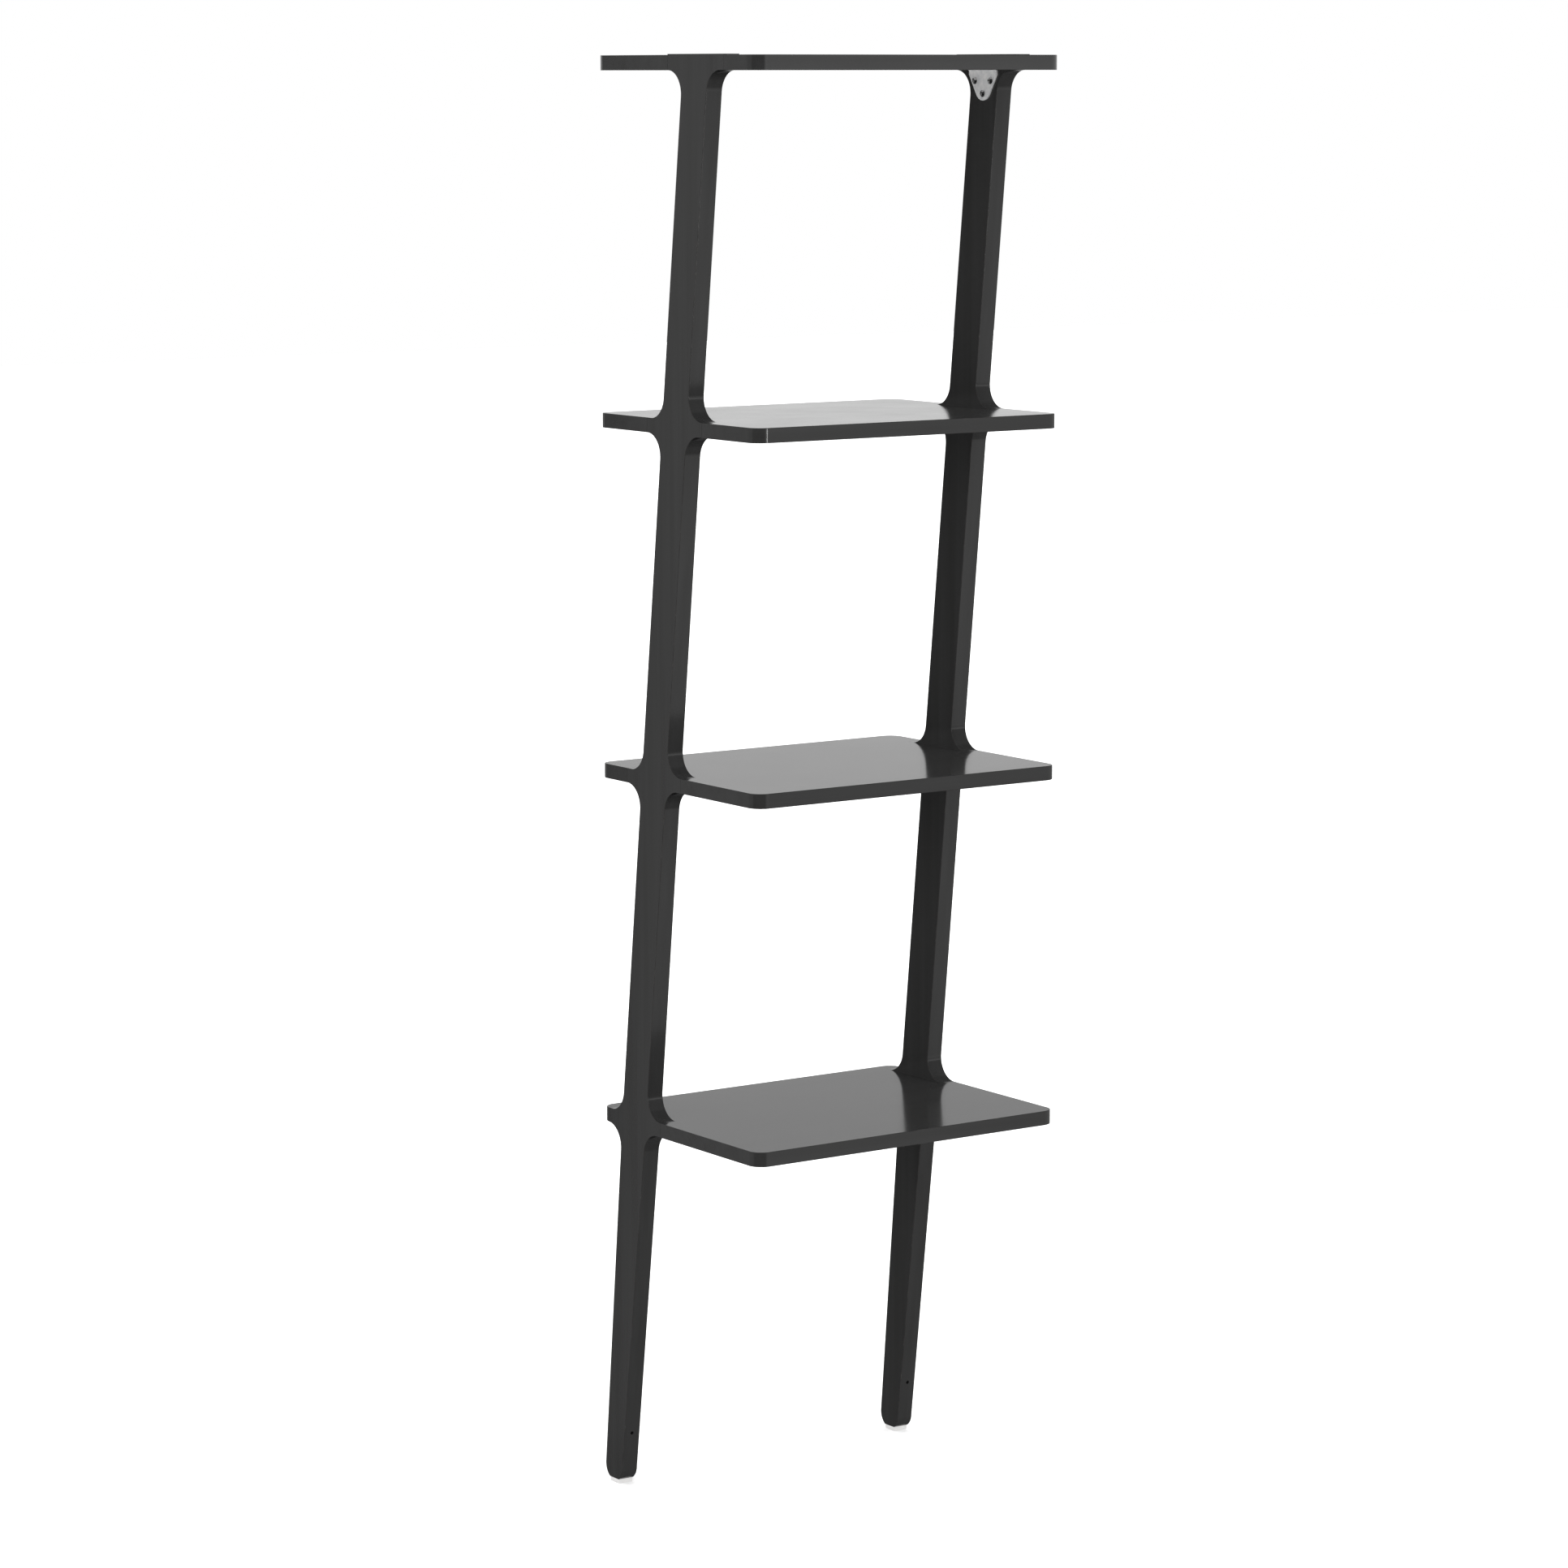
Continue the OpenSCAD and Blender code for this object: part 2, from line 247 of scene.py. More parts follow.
def lathe(profile, sides=HOLE_SIDES):
    """A bmesh turned about Z.

    The profile is (radius, height) pairs that run upwards, and it starts and ends on the axis.
    """
    mesh = bmesh.new()
    mesh.verts.layers.float.new("edge_wear")
    bottom = mesh.verts.new((0, 0, profile[0][1]))
    top = mesh.verts.new((0, 0, profile[-1][1]))
    turns = [2 * math.pi * i / sides for i in range(sides)]
    rings = []
    for radius, height in profile[1:-1]:
        circle = [(radius * math.cos(turn), radius * math.sin(turn), height) for turn in turns]
        rings.append([mesh.verts.new(place) for place in circle])
    for i in range(sides):
        j = (i + 1) % sides
        mesh.faces.new((bottom, rings[0][j], rings[0][i]))
        for lower, upper in zip(rings, rings[1:]):
            mesh.faces.new((lower[i], lower[j], upper[j], upper[i]))
        mesh.faces.new((top, rings[-1][i], rings[-1][j]))
    return mesh


def cylinder(radius, length):
    return lathe([(0, 0), (radius, 0), (radius, length), (0, length)])


def joined(parts):
    """One bmesh out of (bmesh, placing matrix) pairs, which are used up."""
    whole = bmesh.new()
    whole.verts.layers.float.new("edge_wear")
    for part, place in parts:
        part.transform(place)
        piece = bpy.data.meshes.new("part")
        part.to_mesh(piece)
        whole.from_mesh(piece)
        bpy.data.meshes.remove(piece)
        part.free()
    return whole


def to_object(mesh, name):
    """Turns a bmesh into an object, and frees the bmesh."""
    for face in mesh.faces:
        face.smooth = True
    data = bpy.data.meshes.new(name)
    mesh.to_mesh(data)
    mesh.free()
    data.set_sharp_from_angle(angle=SHARP_ANGLE)
    piece = bpy.data.objects.new(name, data)
    bpy.context.scene.collection.objects.link(piece)
    return piece


def subtract(piece, cutter):
    """Cuts the bmesh cutter out of an object, and frees the cutter."""
    tool = to_object(cutter, "cutter")
    cut = piece.modifiers.new("cut", "BOOLEAN")
    cut.operation = "DIFFERENCE"
    cut.solver = "EXACT"
    cut.object = tool
    graph = bpy.context.evaluated_depsgraph_get()
    result = bpy.data.meshes.new_from_object(piece.evaluated_get(graph), depsgraph=graph)
    piece.modifiers.clear()
    before = piece.data
    piece.data = result
    result.name = piece.name
    bpy.data.meshes.remove(before)
    bpy.data.objects.remove(tool)
    result.set_sharp_from_angle(angle=SHARP_ANGLE)


def facing(direction, place):
    """A matrix that turns +Z to a direction, and moves the origin to a place."""
    turn = Vector(direction).to_track_quat("Z", "Y").to_matrix().to_4x4()
    return Matrix.Translation(place) @ turn


def drill(piece, holes):
    """Cuts round holes, each (mouth, inward direction, radius, depth). None may meet another."""
    cutters = []
    for mouth, direction, radius, depth in holes:
        start = Vector(mouth) - Vector(direction) * DRILL_START
        cutters.append((cylinder(radius, depth + DRILL_START), facing(direction, start)))
    subtract(piece, joined(cutters))


def finish_piece(piece, node, material):
    """Makes a piece stand for a CAD node, with clean shading on its large flat faces."""
    shading = piece.modifiers.new("shading", "WEIGHTED_NORMAL")
    shading.keep_sharp = True
    piece.data.materials.clear()
    piece.data.materials.append(material)
    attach(piece, "root")
    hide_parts(node)


# ---- materials ----


def shader_node(tree, kind, inputs=None, **settings):
    """Adds a shader node. Its inputs are values, or sockets of other nodes."""
    node = tree.nodes.new(kind)
    for name, value in settings.items():
        setattr(node, name, value)
    for name, value in (inputs or {}).items():
        if isinstance(value, bpy.types.NodeSocket):
            tree.links.new(value, node.inputs[name])
        else:
            node.inputs[name].default_value = value
    return node


def grey(value, warmth=0.0):
    return (value * (1 + warmth), value, value * (1 - warmth), 1.0)


def ramp(tree, factor, stops):
    """A colour ramp from (position, colour) pairs; gives its colour socket."""
    node = shader_node(tree, "ShaderNodeValToRGB", {"Fac": factor})
    elements = node.color_ramp.elements
    while len(elements) < len(stops):
        elements.new(0.5)
    for element, (position, colour) in zip(elements, stops):
        element.position = position
        element.color = colour
    return node.outputs["Color"]


def between(tree, factor, low, high):
    """Maps a factor from 0..1 to low..high; gives the value's socket."""
    node = shader_node(tree, "ShaderNodeMapRange", {"Value": factor, "To Min": low, "To Max": high})
    return node.outputs["Result"]


def mixed(tree, factor, first, second):
    """Mixes two colours by a factor; gives the mix's socket.

    The node has its two colours in sockets 6 and 7, and their mix in socket 2.
    """
    node = shader_node(tree, "ShaderNodeMix", data_type="RGBA")
    tree.links.new(factor, node.inputs[0])
    for socket, value in ((node.inputs[6], first), (node.inputs[7], second)):
        if isinstance(value, bpy.types.NodeSocket):
            tree.links.new(value, socket)
        else:
            socket.default_value = value
    return node.outputs[2]


def noise(tree, coordinates, scale, stretch=(1, 1, 1), turn=0.0, detail=3.0, roughness=0.5):
    """Noise with scale features a metre, stretched along the axes; gives its socket."""
    place = shader_node(
        tree,
        "ShaderNodeMapping",
        {"Vector": coordinates, "Rotation": (turn, 0, 0), "Scale": stretch},
    )
    inputs = {
        "Vector": place.outputs["Vector"],
        "Scale": scale,
        "Detail": detail,
        "Roughness": roughness,
    }
    return shader_node(tree, "ShaderNodeTexNoise", inputs).outputs["Fac"]


def bump(tree, height, depth, under=None):
    """Bumps that stand depth metres high; gives the normal's socket."""
    inputs = {"Height": height, "Distance": depth, "Strength": 1.0}
    if under is not None:
        inputs["Normal"] = under
    return shader_node(tree, "ShaderNodeBump", inputs).outputs["Normal"]


def new_material(name):
    """A new material; gives it, its tree, its principled shader and object coordinates."""
    material = bpy.data.materials.new(name)
    material.use_nodes = True
    tree = material.node_tree
    shader = tree.nodes["Principled BSDF"]
    coordinates = shader_node(tree, "ShaderNodeTexCoord").outputs["Object"]
    return material, tree, shader, coordinates


def worn_edges(tree, coordinates, amount):
    """Where a rounded edge is rubbed: patchy, and nothing on the faces."""
    edge = shader_node(tree, "ShaderNodeAttribute", attribute_name="edge_wear").outputs["Fac"]
    patches = noise(tree, coordinates, 60, detail=5)
    patchy = shader_node(
        tree,
        "ShaderNodeMapRange",
        {"Value": patches, "From Min": 0.45, "From Max": 0.75, "To Min": 0.0, "To Max": amount},
    )
    worn = shader_node(tree, "ShaderNodeMath", operation="MULTIPLY")
    tree.links.new(edge, worn.inputs[0])
    tree.links.new(patchy.outputs["Result"], worn.inputs[1])
    return worn.outputs["Value"]


def black_lacquer(name, stretch, turn=0.0):
    """Black lacquer over fine-grained wood; stretch is small along the grain."""
    material, tree, shader, coordinates = new_material(name)
    grain = noise(tree, coordinates, 620, stretch, turn, detail=4, roughness=0.55)
    figure = noise(tree, coordinates, 70, stretch, turn, detail=3)
    orange_peel = noise(tree, coordinates, 420, detail=2)
    smudges = noise(tree, coordinates, 14, detail=5, roughness=0.6)
    worn = worn_edges(tree, coordinates, 0.7)
    tone = ramp(tree, figure, [(0.3, grey(0.027, 0.01)), (0.7, grey(0.033))])
    tone = mixed(tree, worn, tone, grey(0.06, 0.04))
    satin = between(tree, smudges, 0.11, 0.17)
    satin = mixed(tree, worn, satin, grey(0.5))
    grain_bump = bump(tree, grain, 0.0012 * MM)
    normal = bump(tree, orange_peel, 0.0015 * MM, grain_bump)
    tree.links.new(tone, shader.inputs["Base Color"])
    tree.links.new(satin, shader.inputs["Roughness"])
    tree.links.new(normal, shader.inputs["Normal"])
    shader.inputs["IOR"].default_value = 1.5
    return material


def plated_steel(name, tone, roughness, brushed, metallic):
    """Zinc-plated steel with fine brushing; a passivated, matt plating is less metallic."""
    material, tree, shader, coordinates = new_material(name)
    streaks = noise(tree, coordinates, 900, stretch=brushed, detail=4, roughness=0.65)
    spangle = noise(tree, coordinates, 170, detail=3)
    worn = worn_edges(tree, coordinates, 1.0)
    colour = ramp(tree, spangle, [(0.3, grey(tone * 0.86, -0.012)), (0.7, grey(tone * 1.08, 0.01))])
    colour = mixed(tree, worn, colour, grey(min(1.0, tone * 1.35)))
    tree.links.new(colour, shader.inputs["Base Color"])
    satin = between(tree, streaks, roughness - 0.08, roughness + 0.1)
    tree.links.new(satin, shader.inputs["Roughness"])
    tree.links.new(bump(tree, streaks, 0.01 * MM), shader.inputs["Normal"])
    shader.inputs["Metallic"].default_value = metallic
    return material


def die_cast(name):
    """Grey die-cast zinc with a fine cast skin."""
    material, tree, shader, coordinates = new_material(name)
    skin = noise(tree, coordinates, 1400, detail=4, roughness=0.7)
    clouds = noise(tree, coordinates, 220, detail=3)
    colour = ramp(tree, clouds, [(0.3, grey(0.42)), (0.7, grey(0.58, 0.01))])
    tree.links.new(colour, shader.inputs["Base Color"])
    tree.links.new(between(tree, skin, 0.34, 0.5), shader.inputs["Roughness"])
    tree.links.new(bump(tree, skin, 0.02 * MM), shader.inputs["Normal"])
    shader.inputs["Metallic"].default_value = 1.0
    return material


def bare_beech(name):
    """Turned beech dowels: fine streaks along X with the small dark flecks of beech."""
    material, tree, shader, coordinates = new_material(name)
    fibres = noise(tree, coordinates, 900, stretch=(0.04, 1, 1), detail=5, roughness=0.6)
    flecks = noise(tree, coordinates, 1500, stretch=(0.16, 1, 1), detail=1)
    limits = {"Value": flecks, "From Min": 0.62, "From Max": 0.74}
    fleck_mask = shader_node(tree, "ShaderNodeMapRange", limits).outputs["Result"]
    light = ramp(tree, fibres, [(0.3, (0.50, 0.33, 0.18, 1)), (0.7, (0.66, 0.48, 0.30, 1))])
    colour = mixed(tree, fleck_mask, light, (0.30, 0.17, 0.08, 1))
    tree.links.new(colour, shader.inputs["Base Color"])
    tree.links.new(between(tree, fibres, 0.5, 0.7), shader.inputs["Roughness"])
    tree.links.new(bump(tree, fibres, 0.03 * MM), shader.inputs["Normal"])
    return material


def moulded_plastic(name, dark, light, roughness, translucency=0.0):
    """Moulded plastic with a fine spark-eroded texture."""
    material, tree, shader, coordinates = new_material(name)
    texture = noise(tree, coordinates, 2600, detail=2)
    clouds = noise(tree, coordinates, 160, detail=3)
    colour = ramp(tree, clouds, [(0.3, dark), (0.7, light)])
    satin = between(tree, clouds, roughness - 0.05, roughness + 0.08)
    tree.links.new(colour, shader.inputs["Base Color"])
    tree.links.new(satin, shader.inputs["Roughness"])
    tree.links.new(bump(tree, texture, 0.008 * MM), shader.inputs["Normal"])
    shader.inputs["Subsurface Weight"].default_value = translucency
    shader.inputs["Subsurface Radius"].default_value = (0.003, 0.003, 0.003)
    return material


LACQUER_ON_BOARDS = black_lacquer("black_lacquer_boards", (0.03, 1, 1))
LACQUER_ON_UPRIGHTS = black_lacquer("black_lacquer_uprights", (1, 1, 0.03), LEAN)
BRACKET_STEEL = plated_steel("bracket_steel", 0.90, 0.40, (1, 0.04, 1), 0.4)
SCREW_STEEL = plated_steel("screw_steel", 0.80, 0.12, (1, 1, 1), 1.0)
FITTING_ZINC = die_cast("fitting_zinc")
BEECH = bare_beech("beech")
BLACK_PLASTIC = moulded_plastic("black_plastic", grey(0.012), grey(0.018), 0.38)
PALE_PLASTIC = moulded_plastic("pale_plastic", grey(0.80, 0.01), grey(0.86, 0.01), 0.35, 0.6)

# ---- uprights ----


def fillet(corner, along_first, along_second):
    """Points on the fillet in a corner, from where it leaves the first direction to the second."""
    half = along_first.angle(along_second) / 2
    centre = corner + (along_first + along_second).normalized() * FILLET_R / math.sin(half)
    reach = FILLET_R / math.tan(half)
    first = corner + along_first * reach - centre
    second = corner + along_second * reach - centre
    sweep = first.angle(second)
    points = []
    for step in range(FILLET_STEPS + 1):
        share = step / FILLET_STEPS
        spoke = first * math.sin((1 - share) * sweep) + second * math.sin(share * sweep)
        points.append(centre + spoke / math.sin(sweep))
    return points


def web_corners(side, z, way):
    """Corners of the fillet from an arm's face at height z to the upright.

    The upright goes up from there where way is 1, and down where it is -1.
    """
    corner = upright_edge(side, z)
    along_upright = (upright_edge(side, z + way * 2 * FILLET_R) - corner).normalized()
    points = fillet(corner, Vector((side, 0)), along_upright)
    corners = []
    for step, point in enumerate(points):
        inner_radius = SEAM_R + (EDGE_R - SEAM_R) * step / FILLET_STEPS
        corners.append((point, EDGE_R, inner_radius))
    return corners


def foot_corners(side):
    """Corners round a leg's end, from the flat up to the leg's edge."""
    edge = (upright_edge(side, BOTTOM_H) - upright_edge(side, FOOT_CENTRE_H)).normalized()
    last = math.atan2(-side * edge.x, edge.y)
    first = -math.acos(FOOT_FLAT / 2 / FOOT_R)
    centre = Vector((FOOT_Y, FOOT_CENTRE_H))
    corners = []
    for step in range(FOOT_STEPS + 1):
        angle = first + (last - first) * step / FOOT_STEPS
        point = centre + FOOT_R * Vector((side * math.cos(angle), math.sin(angle)))
        corners.append((point, EDGE_R, EDGE_R))
    return corners


def side_corners(side):
    """Corners up one side of an upright, as (point, outer radius, inner radius).

    The radii are those of the edge above the point.
    """
    corners = foot_corners(side)
    for board in BOARDS:
        under = BOARD_UNDER[board]
        top = BOARD_TOP[board]
        arm_end = joint_y(board) + side * ARM_HALF
        below = web_corners(side, under, -1)
        corners += [(point, outer, inner) for point, outer, inner in reversed(below)]
        corners.append((Vector((arm_end, under)), SEAM_R, SEAM_R))
        if board == "top":
            corners.append((Vector((arm_end, top + HEAD_PROUD)), HEAD_R, HEAD_R))
        else:
            corners.append((Vector((arm_end, top)), EDGE_R, SEAM_R))
            corners += web_corners(side, top, 1)
    return corners


def upright_outline():
    """An upright's outline with Y across and Z up, counter-clockwise.

    Each corner is (point, outer radius, inner radius).
    """
    up = side_corners(1)
    left = side_corners(-1)
    down = []
    for i in range(len(left) - 1, 0, -1):
        down.append((left[i][0], left[i - 1][1], left[i - 1][2]))
    flat = (left[0][0], HEAD_R, HEAD_R)
    return up + down + [flat]


def joint_holes(side, board, into_upright):
    """Holes for a joint's dowels, and for its cam bolt below the top board."""
    direction = Vector((side if into_upright else -side, 0, 0))
    depth = DOWEL_IN_UPRIGHT if into_upright else DOWEL_IN_BOARD
    mouth = Vector((side * INNER_X, joint_y(board), board_middle(board)))
    holes = []
    for offset in (-DOWEL_OFFSET, DOWEL_OFFSET):
        holes.append((mouth + Vector((0, offset, 0)), direction, DOWEL_HOLE_R, depth))
    if board in CAM_BOARDS:
        if into_upright:
            holes.append((mouth, direction, BOLT_R, BOLT_IN_UPRIGHT))
        else:
            holes.append((mouth, direction, CAM_SHAFT_HOLE_R, CAM_INSET))
    return holes


def screw_places():
    """Where a bracket leg's screws are: across the leg, and away from the bend."""
    return (
        (-SCREW_SPACING / 2, SCREW_ROW),
        (SCREW_SPACING / 2, SCREW_ROW),
        (0, SCREW_TIP_ROW),
    )


def bracket_corner(side):
    """The middle of the back of a bracket's bend. The board leg is let into the board, flush."""
    bend_z = BOARD_UNDER["top"] + BRACKET_T
    return Vector((side * INNER_X, centre_y(bend_z - BRACKET_L / 2), bend_z))


def screw_frames(side, on_upright):
    """For each screw in a bracket leg, its place on the wood and the direction out of the wood."""
    out = Vector((-side, 0, 0)) if on_upright else Vector((0, 0, -1))
    away = Vector((0, 0, -1)) if on_upright else Vector((-side, 0, 0))
    corner = bracket_corner(side)
    return [(corner + away * row + Vector((0, across, 0)), out) for across, row in screw_places()]


def upright(name, side):
    outline = upright_outline()
    if side < 0:
        prism = rounded_prism(outline, -HALF_W, -INNER_X)
    else:
        turned = [(point, inner, outer) for point, outer, inner in outline]
        prism = rounded_prism(turned, INNER_X, HALF_W)
    # outline coordinates (across, up, thickness) become (y, z, x)
    prism.transform(Matrix(((0, 0, 1, 0), (1, 0, 0, 0), (0, 1, 0, 0), (0, 0, 0, 1))))
    piece = to_object(prism, f"lacquered_upright_{name}")
    holes = []
    for board in BOARDS:
        holes += joint_holes(side, board, into_upright=True)
    for place, out in screw_frames(side, on_upright=True):
        holes.append((place, -out, SCREW_R, SCREW_L - BRACKET_T))
    mouth = upright_edge(-1, PILOT_H)
    holes.append(((side * MIDDLE_X, mouth.x, PILOT_H), (0, 1, 0), PILOT_R, PILOT_DEPTH))
    nail_depth = NAIL_RECESS + NAIL_L - GLIDE_T
    holes.append(((side * MIDDLE_X, FOOT_Y, GLIDE_T), (0, 0, 1), NAIL_R, nail_depth))
    drill(piece, holes)
    finish_piece(piece, f"upright_{name}", LACQUER_ON_UPRIGHTS)


# ---- boards ----


def end_x(y):
    """How far out a board's end reaches at y; it curves in at the corners."""
    past = max(0.0, abs(y) - (HALF_D - CORNER_R))
    return HALF_W - CORNER_R + math.sqrt(CORNER_R**2 - past**2)


def board_end_corners(board, side):
    """Corners of one end of a board, counter-clockwise, with its notch.

    The notch's edges are nearly sharp, and the others are rounded.
    """
    notch_start = joint_y(board) - side * (ARM_HALF + NOTCH_GAP)
    notch_end = joint_y(board) + side * (ARM_HALF + NOTCH_GAP)
    corners = []
    for turn in (-1, 1):
        centre = Vector((side * (HALF_W - CORNER_R), side * turn * (HALF_D - CORNER_R)))
        start = {(1, -1): -90, (1, 1): 0, (-1, -1): 90, (-1, 1): 180}[(side, turn)]
        for step in range(CORNER_STEPS + 1):
            angle = math.radians(start + 90 * step / CORNER_STEPS)
            point = centre + CORNER_R * Vector((math.cos(angle), math.sin(angle)))
            outside = side * point.y < side * notch_start or side * point.y > side * notch_end
            if outside:
                corners.append((point, EDGE_R, EDGE_R))
        if turn < 0:
            for x, y, radius in (
                (end_x(notch_start), notch_start, SEAM_R),
                (INNER_X, notch_start, SEAM_R),
                (INNER_X, notch_end, SEAM_R),
                (end_x(notch_end), notch_end, EDGE_R),
            ):
                corners.append((Vector((side * x, y)), radius, radius))
    return corners


def shelf(board):
    outline = board_end_corners(board, 1) + board_end_corners(board, -1)
    prism = rounded_prism(outline, BOARD_UNDER[board], BOARD_TOP[board])
    piece = to_object(prism, f"lacquered_board_{board}")
    holes = []
    cams = []
    for side in SIDES.values():
        holes += joint_holes(side, board, into_upright=False)
        if board in CAM_BOARDS:
            mouth = (side * (INNER_X - CAM_INSET), joint_y(board), BOARD_UNDER[board])
            cams.append((mouth, (0, 0, 1), CAM_R, CAM_H))
        else:
            for place, out in screw_frames(side, on_upright=False):
                holes.append((place, -out, SCREW_R, SCREW_L - BRACKET_T))
    if cams:
        drill(piece, cams)
    else:
        subtract(piece, joined([bracket_pocket(side) for side in SIDES.values()]))
    drill(piece, holes)
    finish_piece(piece, f"shelf_{board}", LACQUER_ON_BOARDS)


# ---- brackets and screws ----


def shield_edge(gap=0.0):
    """Half a bracket leg's outline, widened by a gap, from its shoulder to its tip.

    The points are (across, from the bend).
    """
    tip_r = BRACKET_TIP_R + gap
    tip = Vector((0, BRACKET_L - BRACKET_TIP_R))
    shoulder = Vector((BRACKET_W / 2 + gap, BRACKET_STRAIGHT))
    away = shoulder - tip
    first = math.atan2(away.y, away.x) + math.acos(tip_r / away.length)
    points = [shoulder]
    for step in range(CORNER_STEPS + 1):
        angle = first + (math.pi / 2 - first) * step / CORNER_STEPS
        points.append(tip + tip_r * Vector((math.cos(angle), math.sin(angle))))
    return points


def mirrored_across(points):
    """The other half of an outline, back from the tip, which it doesn't repeat."""
    return [Vector((-point.x, point.y)) for point in reversed(points[:-1])]


def bracket_pocket(side):
    """A cutter for the pocket in the top board's underside, with its placing matrix."""
    half = shield_edge(BRACKET_POCKET_GAP)
    base = Vector((half[0].x, -BRACKET_POCKET_GAP))
    outline = [base] + half + mirrored_across(half) + [Vector((-base.x, base.y))]
    # outline coordinates (across, from the bend, depth) become (y, x, z)
    away = -side
    place = Matrix(((0, away, 0, 0), (-away, 0, 0, 0), (0, 0, 1, 0), (0, 0, 0, 1)))
    place.translation = bracket_corner(side) - Vector((0, 0, BRACKET_T + DRILL_START))
    corners = [(point, SEAM_R, SEAM_R) for point in outline]
    cutter = rounded_prism(corners, 0, BRACKET_T + DRILL_START)
    return cutter, place


def flat_bracket():
    """A bracket that is punched and drilled, and not yet bent.

    The board's leg lies along +Y and the upright's leg along -Y, with their backs at height 0.
    """
    shift = Vector((0, BEND_BACK_R - HALF_BEND))
    board_leg = [point - shift for point in shield_edge()]
    board_leg += mirrored_across(board_leg)
    upright_leg = [-point for point in board_leg]
    outline = [(point, STEEL_EDGE_R, STEEL_EDGE_R) for point in board_leg + upright_leg]
    flat = to_object(rounded_prism(outline, 0, BRACKET_T), "flat_bracket")
    holes = []
    countersinks = []
    for across, row in screw_places():
        along = row - shift.y
        holes.append(((across, -along, 0), (0, 0, 1), SCREW_R, 2 * BRACKET_T))
        place = Matrix.Translation((across, along, BRACKET_T))
        countersinks.append((lathe(countersink_profile()), place))
    drill(flat, holes)
    subtract(flat, joined(countersinks))
    return flat


def folded(along, height):
    """Where bending takes a point of the flat bracket: away and down from the back of the bend."""
    if along > HALF_BEND:
        return BEND_BACK_R + along - HALF_BEND, height
    if along < -HALF_BEND:
        return height, BEND_BACK_R - along - HALF_BEND
    turn = (along / HALF_BEND + 1) * math.pi / 4
    radius = BEND_BACK_R - height
    return BEND_BACK_R - radius * math.cos(turn), BEND_BACK_R - radius * math.sin(turn)


def bracket(name, side):
    flat = flat_bracket()
    bent = bmesh.new()
    bent.from_mesh(flat.data)
    bpy.data.objects.remove(flat)
    steps = 2 * ROUND_STEPS
    for step in range(steps + 1):
        line = HALF_BEND * (2 * step / steps - 1)
        everything = bent.verts[:] + bent.edges[:] + bent.faces[:]
        bmesh.ops.bisect_plane(bent, geom=everything, plane_co=(0, line, 0), plane_no=(0, 1, 0))
    for vertex in bent.verts:
        across, along, height = vertex.co
        away, drop = folded(along, height)
        vertex.co = bracket_corner(side) + Vector((-side * away, side * across, -drop))
    bmesh.ops.recalc_face_normals(bent, faces=bent.faces)
    piece = to_object(bent, f"bent_bracket_{name}")
    finish_piece(piece, f"bracket_{name}", BRACKET_STEEL)


def countersink_profile():
    """A hole with a countersink, for a flat head whose top is at height 0."""
    return [
        (0, -2 * BRACKET_T),
        (SCREW_R, -2 * BRACKET_T),
        (SCREW_R, SCREW_R - FLAT_HEAD_R - FLAT_HEAD_RIM),
        (FLAT_HEAD_R, -FLAT_HEAD_RIM),
        (FLAT_HEAD_R, DRILL_START),
        (0, DRILL_START),
    ]


def shank_profile(head_depth):
    """A threaded shank from its point up to the head's underside, head_depth below height 0."""
    thread_root = 0.72 * SCREW_R
    pitch = 1.4 * MM
    blunt_r = 0.12 * MM
    blunt_l = 0.2 * MM
    neck_l = 0.3 * MM
    profile = [(0, -SCREW_L), (blunt_r, -SCREW_L + blunt_l)]
    height = -SCREW_L + SCREW_TIP_L / 2
    while height < -pitch - head_depth:
        share = min(1.0, (height + SCREW_L) / SCREW_TIP_L)
        profile.append((thread_root * share, height))
        profile.append((SCREW_R * share, height + pitch / 2))
        height += pitch
    profile.append((thread_root, -neck_l - head_depth))
    profile.append((SCREW_R, -head_depth))
    return profile


def flat_head_profile():
    """A countersunk screw with the top of its head at height 0."""
    profile = shank_profile(FLAT_HEAD_R - SCREW_R + FLAT_HEAD_RIM)
    profile += [(FLAT_HEAD_R, -FLAT_HEAD_RIM), (FLAT_HEAD_R, -FLAT_HEAD_RIM / 4)]
    profile += [(FLAT_HEAD_R - FLAT_HEAD_RIM / 2, 0), (0, 0)]
    return profile


def pan_head_profile():
    """A pan-head screw, whose head has a rounded cap; the head's underside is at height 0."""
    cap_r = (SCREW_HEAD_R**2 + SCREW_CROWN**2) / (2 * SCREW_CROWN)
    cap_centre = SCREW_HEAD_H - cap_r
    profile = shank_profile(0)
    profile += [(SCREW_HEAD_R - SCREW_RIM_R, 0), (SCREW_HEAD_R, SCREW_RIM_R)]
    for step in range(ROUND_STEPS):
        radius = SCREW_HEAD_R * (1 - step / ROUND_STEPS)
        profile.append((radius, cap_centre + math.sqrt(cap_r**2 - radius**2)))
    profile.append((0, SCREW_HEAD_H))
    return profile


